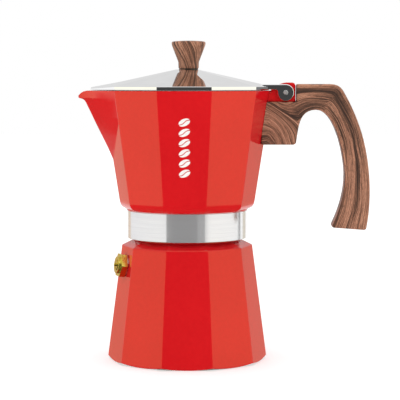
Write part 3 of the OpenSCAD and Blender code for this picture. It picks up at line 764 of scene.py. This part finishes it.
# ---------------------------------------------------------------- lid
def lid():
    """The lid's casting: half of its flat faces, mirrored, and then the two hinge ears."""
    def corner(r, k, z):
        return (r * math.cos(k * STEP), r * math.sin(k * STEP), z)

    half = SIDES // 2
    top = [corner(LID_FLAT_R, k, LID_TOP_Z) for k in range(half + 1)]
    edge = [corner(LID_R, k, LID_EDGE_Z) for k in range(half + 1)]
    foot = [corner(LID_R, k, LID_LOW_Z) for k in range(half + 1)]
    in_foot = [corner(LID_IN_R, k, LID_LOW_Z) for k in range(half + 1)]
    in_foot[0] = (LID_HEEL_X, 0.0, LID_LOW_Z)
    in_edge = [corner(LID_IN_R, k, LID_IN_EDGE_Z) for k in range(half + 1)]
    in_edge[0] = (LID_HEEL_X, 0.0, LID_IN_EDGE_Z)
    in_top = [corner(LID_FLAT_R, k, LID_IN_TOP_Z) for k in range(half + 1)]
    notch_x, notch_y = LID_NOTCH
    lean = math.tan(STEP / 2)
    ridge_z = LID_TOP_Z - (notch_x - LID_FLAT_R) * LID_SLOPE
    side_z = LID_TOP_Z - (notch_x + notch_y * lean - LID_FLAT_R) * LID_SLOPE
    n_edge = (LID_R - notch_y * lean, notch_y, LID_EDGE_Z)
    n_foot = (LID_R - notch_y * lean, notch_y, LID_LOW_Z)
    m_edge, m_foot = (notch_x, notch_y, side_z), (notch_x, notch_y, LID_LOW_Z)
    r_edge, r_foot = (notch_x, 0.0, ridge_z), (notch_x, 0.0, LID_LOW_Z)
    crease = (-43.0, 0.0, 175.95)
    tip, tip_foot = (-61.0, 0.0, 172.6), (-61.0, 0.0, LID_LOW_Z)
    shoulder, shoulder_foot = (-60.6, 6.0, 171.9), (-60.6, 6.0, LID_LOW_Z)

    faces = [top, [top[0], top[1], edge[1], n_edge, m_edge, r_edge],
             [top[4], top[5], crease], [top[4], crease, edge[4]],
             [edge[4], crease, shoulder], [crease, tip, shoulder],
             [n_edge, edge[1], foot[1], n_foot], [m_edge, n_edge, n_foot, m_foot],
             [r_edge, m_edge, m_foot, r_foot], [edge[4], shoulder, shoulder_foot, foot[4]],
             [shoulder, tip, tip_foot, shoulder_foot],
             [r_foot, m_foot, n_foot, foot[1], in_foot[1], in_foot[0]],
             [foot[4], shoulder_foot, tip_foot, in_foot[5], in_foot[4]], in_top]
    for k in (1, 2, 3):
        faces.append([top[k], top[k + 1], edge[k + 1], edge[k]])
        faces.append([edge[k], edge[k + 1], foot[k + 1], foot[k]])
        faces.append([foot[k], foot[k + 1], in_foot[k + 1], in_foot[k]])
    for k in range(half):
        faces.append([in_foot[k], in_foot[k + 1], in_edge[k + 1], in_edge[k]])
        faces.append([in_edge[k], in_edge[k + 1], in_top[k + 1], in_top[k]])
    verts, indexed = [], []
    for mirror in (1, -1):
        for face in faces:
            indexed.append(tuple(range(len(verts), len(verts) + len(face))))
            verts.extend((x, y * mirror, z) for x, y, z in face)
    obj = make_object("lid_shell", verts, indexed, merge=0.001)
    work = bmesh.new()
    work.from_mesh(obj.data)
    bmesh.ops.dissolve_limit(work, angle_limit=math.radians(0.3), verts=work.verts,
                             edges=work.edges)
    bmesh.ops.recalc_face_normals(work, faces=work.faces)
    work.to_mesh(obj.data)
    work.free()
    bevel(obj, 0.28, 3.0)
    bake(obj)
    fillet = 1.5
    reach = EAR_R + fillet
    low_z = 171.2
    rise = low_z - fillet - HINGE[1]
    run = math.sqrt(reach ** 2 - rise ** 2)
    meet = math.degrees(math.atan2(rise, -run))
    outline = [(46.0, low_z)]
    outline += arc((HINGE[0] - run, low_z - fillet), fillet, 90, meet - 180, 6)
    outline += arc(HINGE, EAR_R, meet, 450, 48)[1:]
    outline += [(46.0, HINGE[1] + EAR_R)]
    for sign in (-1, 1):
        near, far = sorted((sign * EAR_Y[0], sign * EAR_Y[1]))
        ear = prism("ear", outline, near, far)
        bevel(ear, 0.55, 40, 4)
        bake(ear)
        combine(obj, ear, "UNION")
    dress(obj, "lid", [POLISHED], ["lid"], sharp=40)


# ---------------------------------------------------------------- wood-look pieces
def set_grain(obj, function):
    """Stores along, across and depth of the grain in millimetres at each vertex."""
    values = []
    for vert in obj.data.vertices:
        values.extend(function(*(vert.co / MM)))
    layer = obj.data.attributes.new("grain", "FLOAT_VECTOR", "POINT")
    layer.data.foreach_set("vector", values)


def nearest(path, x, z):
    """(distance, length along) of the nearest point on a polyline."""
    best, run = (1e9, 0.0), 0.0
    for (x0, z0), (x1, z1) in zip(path, path[1:]):
        dx, dz = x1 - x0, z1 - z0
        length = math.hypot(dx, dz)
        t = max(0.0, min(1.0, ((x - x0) * dx + (z - z0) * dz) / length ** 2))
        gap = math.hypot(x - x0 - t * dx, z - z0 - t * dz)
        if gap < best[0]:
            best = (gap, run + t * length)
        run += length
    return best


HANDLE_TOP_Z = 174.6
GRIP_END_Z = 83.4
ARM_GRAIN_W = 19.0  # the grain's width between the arm's two edges
RING_CENTRE = (49.0, 127.0)  # middle of the grain's rings in the block
RING_RADII = (27.0, 47.0)
BLOCK_CORNER_R = 2.2
BLOCK_TOP_Z = 163.5
BLOCK_LOW_Z = 136.5
INNER_RAIL = (bezier((69.5, 142.5), (70.6, 149.5), (71.5, 158.4), (81.3, 158.5), 10)
              + bezier((81.3, 158.5), (91, 158.5), (96.5, 141), (98.8, 126), 10)
              + bezier((98.8, 126), (101, 112), (98, 99), (91.9, GRIP_END_Z + 2.6), 10, True))
OUTER_BACK = (bezier((113.5, GRIP_END_Z + 1.2), (116.1, 98), (116.6, 119), (111.2, 140), 10)
              + bezier((111.2, 140), (108.2, 150.5), (104.3, 160), (98.6, 169.8), 10)
              + bezier((98.6, 169.8), (97, 172.8), (94.4, HANDLE_TOP_Z), (90.6, HANDLE_TOP_Z), 6))


def handle():
    """The grip: its side outline as a rounded plate, cut to the collector's corner."""
    corner = (BLOCK_END_X - BLOCK_CORNER_R, BLOCK_LOW_Z + BLOCK_CORNER_R)
    outline = [(BLOCK_ROOT_X, BLOCK_LOW_Z), (corner[0], BLOCK_LOW_Z)]
    outline += arc(corner, BLOCK_CORNER_R, -80, 0, 5)
    outline += INNER_RAIL[:-1]
    end = GRIP_END_Z
    outline += bezier((91.9, end + 2.6), (91.3, end + 1.3), (92, end + 0.7), (94.6, end + 0.6), 5)
    outline += bezier((111.4, end - 0.6), (113, end - 0.6), (113.3, end - 0.2),
                      (113.5, end + 1.2), 5)
    outline += OUTER_BACK
    outline += [(90.6, HANDLE_TOP_Z)] + arc((70.0, HANDLE_TOP_Z - 1), 1.0, 90, 180, 4)
    outline += [(BLOCK_END_X, BLOCK_TOP_Z), (BLOCK_ROOT_X, BLOCK_TOP_Z)]
    obj = prism("handle_grip", outline, -HANDLE_HALF_W, HANDLE_HALF_W)
    bevel(obj, 1.9, 42, 6)
    bake(obj)
    under, over = 130.0, RIM_Z + 2
    rings = [[(0, 0, under)]]
    for z in (under, over):
        rings.append(at_height(polygon(collector_r(z) + HANDLE_GAP), z))
    rings.append([(0, 0, over)])
    combine(obj, make_object("body_cutter", *skin(rings)), "DIFFERENCE")
    screw_cutter = rod_z("screw_cutter", HANDLE_SCREW_X, 0, under, 148, HANDLE_SCREW_HOLE_R)
    combine(obj, screw_cutter, "DIFFERENCE")
    # Cut into small squares, so that the grain attribute has a vertex wherever it turns
    work = bmesh.new()
    work.from_mesh(obj.data)
    pitch = 1.7
    for axis, low, high in ((0, BLOCK_ROOT_X, 118.0), (2, 80.0, 175.0)):
        for k in range(1, int((high - low) / pitch)):
            spot = Vector((0, 0, 0))
            spot[axis] = (low + k * pitch) * MM
            normal = Vector((0, 0, 0))
            normal[axis] = 1
            geometry = work.verts[:] + work.edges[:] + work.faces[:]
            bmesh.ops.bisect_plane(work, geom=geometry, plane_co=spot, plane_no=normal, dist=1e-6)
    work.to_mesh(obj.data)
    work.free()

    outer_path = [(30.0, HANDLE_TOP_Z)] + [p for p in reversed(OUTER_BACK)] + [(112.0, 66.0)]
    inner_path = [(69.4, 120.0)] + INNER_RAIL + [(86.0, 70.0)]

    def grain(x, y, z):
        """The grain rings an ellipse in the block, and runs between two rails in the arm."""
        d_out, run = nearest(outer_path, x, z)
        d_in = nearest(inner_path, x, z)[0]
        arm = ARM_GRAIN_W * d_in / (d_out + d_in + 1e-6)
        dx, dz = x - RING_CENTRE[0], z - RING_CENTRE[1]
        block = RING_RADII[1] * (math.hypot(dx / RING_RADII[0], dz / RING_RADII[1]) - 1) + 2.0
        t = max(((x - 61.0) * 0.62 + (z - 156.0) * 0.78) / 15.0 + 0.5, (x - 67.0) / 8.0)
        t = max(0.0, min(1.0, t))
        t = t * t * (3 - 2 * t)
        swirl = -30.0 * math.atan2(dz, dx)
        return ((1 - t) * swirl + t * run, (1 - t) * block + t * arm, y)

    set_grain(obj, grain)
    dress(obj, "collector", [WOOD], ["handle"], sharp=50)


KNOB_PROFILE = [
    (0, 184.4), (5.9, 184.4), (6.25, 184.55), (6.4, 184.9), (6.45, 186.5), (6.5, 188.2),
    (6.65, 188.9), (6.95, 189.6), (8.1, 192.6), (9.3, 195.7), (10.4, 198.6), (10.66, 199.5),
    (10.72, 200.2), (10.66, 200.8), (10.4, 201.15), (9.9, 201.35), (8.5, 201.55), (5.0, 201.8),
    (0, 201.9)]


def knob():
    """The knob, turned from its profile."""
    count = 96
    rings = []
    for r, z in KNOB_PROFILE:
        if r == 0:
            rings.append([(KNOB_X, 0, z)])
        else:
            rings.append([(KNOB_X + r * math.cos(2 * math.pi * k / count),
                           r * math.sin(2 * math.pi * k / count), z) for k in range(count)])
    obj = make_object("knob_turned", *skin(rings))

    def grain(x, y, z):
        angle = math.atan2(y, x - KNOB_X) + (z - 186.0) * 0.045
        r = 9.5 * min(1.0, math.hypot(x - KNOB_X, y) / KNOB_FOOT_R)
        return (z, r * math.cos(angle), r * math.sin(angle))

    set_grain(obj, grain)
    dress(obj, "lid", [WOOD], ["knob"], sharp=60, weighted=False)


# ---------------------------------------------------------------- generic motif on the front
def motif():
    """A column of plain coffee beans, raised a hair above the front facet."""
    count, pitch, middle_z = 6, 6.3, 136.0
    half_w, half_h, gap, thick = 3.7, 2.2, 0.5, 0.12
    tilt = math.radians(24)
    lean = COLLECTOR_SLOPE * FLAT_SHARE
    up = Vector((0, -lean, 1)).normalized()
    out = Vector((0, -1, -lean)).normalized()
    side = Vector((1, 0, 0))
    verts, faces = [], []
    for bean in range(count):
        z = middle_z + (bean - (count - 1) / 2) * pitch
        origin = Vector((0, -collector_r(middle_z) * FLAT_SHARE, middle_z)) + up * (z - middle_z)
        for sign in (1, -1):
            rim, seam = [], []
            steps = 14
            for k in range(steps + 1):
                x = -0.955 * half_w + 1.91 * half_w * k / steps
                rim.append((x, sign * half_h * math.sqrt(1 - (x / half_w) ** 2)))
                seam.append((x, 0.45 * math.sin(math.pi * x / half_w) + sign * gap / 2))
            turned = [(x * math.cos(tilt) - y * math.sin(tilt),
                       x * math.sin(tilt) + y * math.cos(tilt)) for x, y in rim + seam[::-1]]
            n, start = len(turned), len(verts)
            for level in (-0.1, thick):
                verts += [tuple(origin + side * x + up * y + out * level) for x, y in turned]
            faces.append(tuple(start + i for i in range(n)))
            faces.append(tuple(start + 2 * n - 1 - i for i in range(n)))
            faces += [(start + i, start + (i + 1) % n, start + n + (i + 1) % n, start + n + i)
                      for i in range(n)]
    obj = make_object("front_motif", verts, faces)
    dress(obj, "collector", [WHITE], sharp=30)


# ---------------------------------------------------------------- pieces kept from the CAD
# The material of each piece, and the width of its edge bevels
KEPT = {
    "valve_body": (BRASS, 0.35), "valve_washer": (STEEL, 0.12), "valve_nut": (BRASS, 0.3),
    "valve_stem": (BRASS, 0.15), "valve_seal": (SILICONE, 0.0), "valve_spring": (STEEL, 0.0),
    "valve_cap": (BRASS, 0.2), "funnel": (SPUN, 0.2), "funnel_screen": (STEEL, 0.0),
    "gasket": (SILICONE, 0.3), "filter_plate": (STEEL, 0.0), "handle_screw": (STEEL, 0.25),
    # the knob washer takes the near-black steel, painted shade in the gap under the knob
    "hinge_pin": (PIN_STEEL, 0.25), "knob_washer": (SHADE_DARK_STEEL, 0.12), "knob_screw": (STEEL, 0.25),
}


def finish_kept():
    for name, (material, width) in KEPT.items():
        node = nodes[name]
        node.data.materials.clear()
        node.data.materials.append(material)
        if width:
            weld = node.modifiers.new("weld", "WELD")
            weld.merge_threshold = 1e-6
            flat = node.modifiers.new("flat", "DECIMATE")
            flat.decimate_type = "DISSOLVE"
            flat.angle_limit = math.radians(0.5)
            bevel(node, width, 32)
            normals = node.modifiers.new("normals", "WEIGHTED_NORMAL")
            normals.keep_sharp = False


# ---------------------------------------------------------------- studio
DIFFUSE_LEVEL = 1.10  # the studio's light on matt surfaces
MIRROR_LEVEL = 1.06  # its brightness in reflections, where no patch covers it
FLOOR_HALF = 4.0
FLOOR_Z = -0.0002
FLOOR_GLOW = 0.30
CAMERA_DISTANCE = 0.989
CAMERA_HEIGHT = 0.1776
CAMERA_TURN = math.radians(2)
CAMERA_LENS = 140.25
CAMERA_AIM = (0.0082, 0.0, 0.1010)
# Each patch of the studio: azimuth and elevation windows as (low, high, softness), colour
PATCHES = [
    ((38, 112, 4), (-90, 28, 5), (1.18, 1.16, 0.96)),
    ((-112, -38, 4), (-90, 10, 3), (1.18, 1.16, 0.96)),
    ((-112, -38, 4), (10, 75, 3), (0.80, 0.80, 0.79)),
    ((30, 114, 4), (-10, -1.5, 1.5), (0.95, 0.93, 0.92)),
    ((-150, -34, 4), (-10, -1.5, 1.5), (0.84, 0.83, 0.84)),
    ((-134, -113, 3), (-60, -10, 2), (0.26, 0.13, 0.10)),
    ((136, 152, 3), (-90, 6, 2), (0.62, 0.55, 0.43)),
    ((-152, -136, 3), (-90, 6, 2), (0.70, 0.52, 0.37)),
    ((110, 181, 4), (5, 75, 1.5), (0.74, 0.74, 0.74)),
    ((-181, -110, 4), (5, 75, 1.5), (0.74, 0.74, 0.74)),
    ((-181, 181, 1), (-91, -24, 2), (0.17, 0.14, 0.10)),
    ((117.5, 124.5, 1.5), (-90, 26, 4), (0.08, 0.08, 0.08)),
    ((-36, 24, 2), (-60, 25, 3), (0.055, 0.055, 0.055)),
    ((22, 40, 3), (-60, 25, 3), (0.20, 0.20, 0.20)),
]


def studio():
    scene = bpy.context.scene
    scene.view_settings.view_transform = "Standard"
    scene.view_settings.look = "None"

    corners = [(-FLOOR_HALF, -FLOOR_HALF), (FLOOR_HALF, -FLOOR_HALF),
               (FLOOR_HALF, FLOOR_HALF), (-FLOOR_HALF, FLOOR_HALF)]
    floor = bpy.data.meshes.new("floor")
    floor.from_pydata([(x, y, FLOOR_Z) for x, y in corners], [], [(0, 1, 2, 3)])
    obj = bpy.data.objects.new("floor", floor)
    scene.collection.objects.link(obj)
    material, tree, shader = new_material("floor", Roughness=0.9)
    shader.inputs["Base Color"].default_value = (0.86, 0.86, 0.86, 1)
    shader.inputs["Emission Color"].default_value = (1, 1, 1, 1)
    shader.inputs["Emission Strength"].default_value = FLOOR_GLOW
    floor.materials.append(material)
    obj.visible_glossy = False

    world = bpy.data.worlds.new("studio")
    world.use_nodes = True
    tree = world.node_tree
    background = tree.nodes["Background"]
    direction = add(tree, "ShaderNodeTexCoord").outputs["Generated"]
    x, y, z = add(tree, "ShaderNodeSeparateXYZ", {"Vector": direction}).outputs
    azimuth = calc(tree, "DEGREES", calc(tree, "ARCTAN2", x, calc(tree, "MULTIPLY", y, -1.0)))
    elevation = calc(tree, "DEGREES", calc(tree, "ARCSINE", z))

    def window(value, low, high, soft):
        rise = remap(tree, value, low - soft, low + soft, 0, 1, True)
        fall = remap(tree, value, high - soft, high + soft, 1, 0, True)
        return calc(tree, "MULTIPLY", rise, fall)

    def patched(color, az, el, patch):
        share = calc(tree, "MULTIPLY", window(azimuth, *az), window(elevation, *el))
        return blend_color(tree, share, color, (*patch, 1.0))

    white = add(tree, "ShaderNodeRGB")
    white.outputs[0].default_value = (*[MIRROR_LEVEL] * 3, 1)
    color = white.outputs[0]
    for az, el, patch in PATCHES:
        color = patched(color, az, el, patch)
    path = add(tree, "ShaderNodeLightPath").outputs
    color = blend_color(tree, path["Is Diffuse Ray"], color, (*[DIFFUSE_LEVEL] * 3, 1.0))
    color = blend_color(tree, path["Is Camera Ray"], color, (1.0, 1.0, 1.0, 1.0))
    tree.links.new(color, background.inputs["Color"])
    world.cycles.sampling_method = "NONE"
    scene.world = world

    camera = bpy.data.cameras.new("camera")
    camera.lens = CAMERA_LENS
    camera.sensor_width = 36
    camera.clip_start, camera.clip_end = 0.05, 20
    eye = bpy.data.objects.new("camera", camera)
    eye.location = (CAMERA_DISTANCE * math.sin(CAMERA_TURN),
                    -CAMERA_DISTANCE * math.cos(CAMERA_TURN), CAMERA_HEIGHT)
    eye.rotation_mode = "QUATERNION"
    eye.rotation_quaternion = (Vector(CAMERA_AIM) - eye.location).to_track_quat("-Z", "Y")
    scene.collection.objects.link(eye)
    scene.camera = eye


boiler()
upper_chamber()
lid()
handle()
knob()
motif()
finish_kept()
studio()
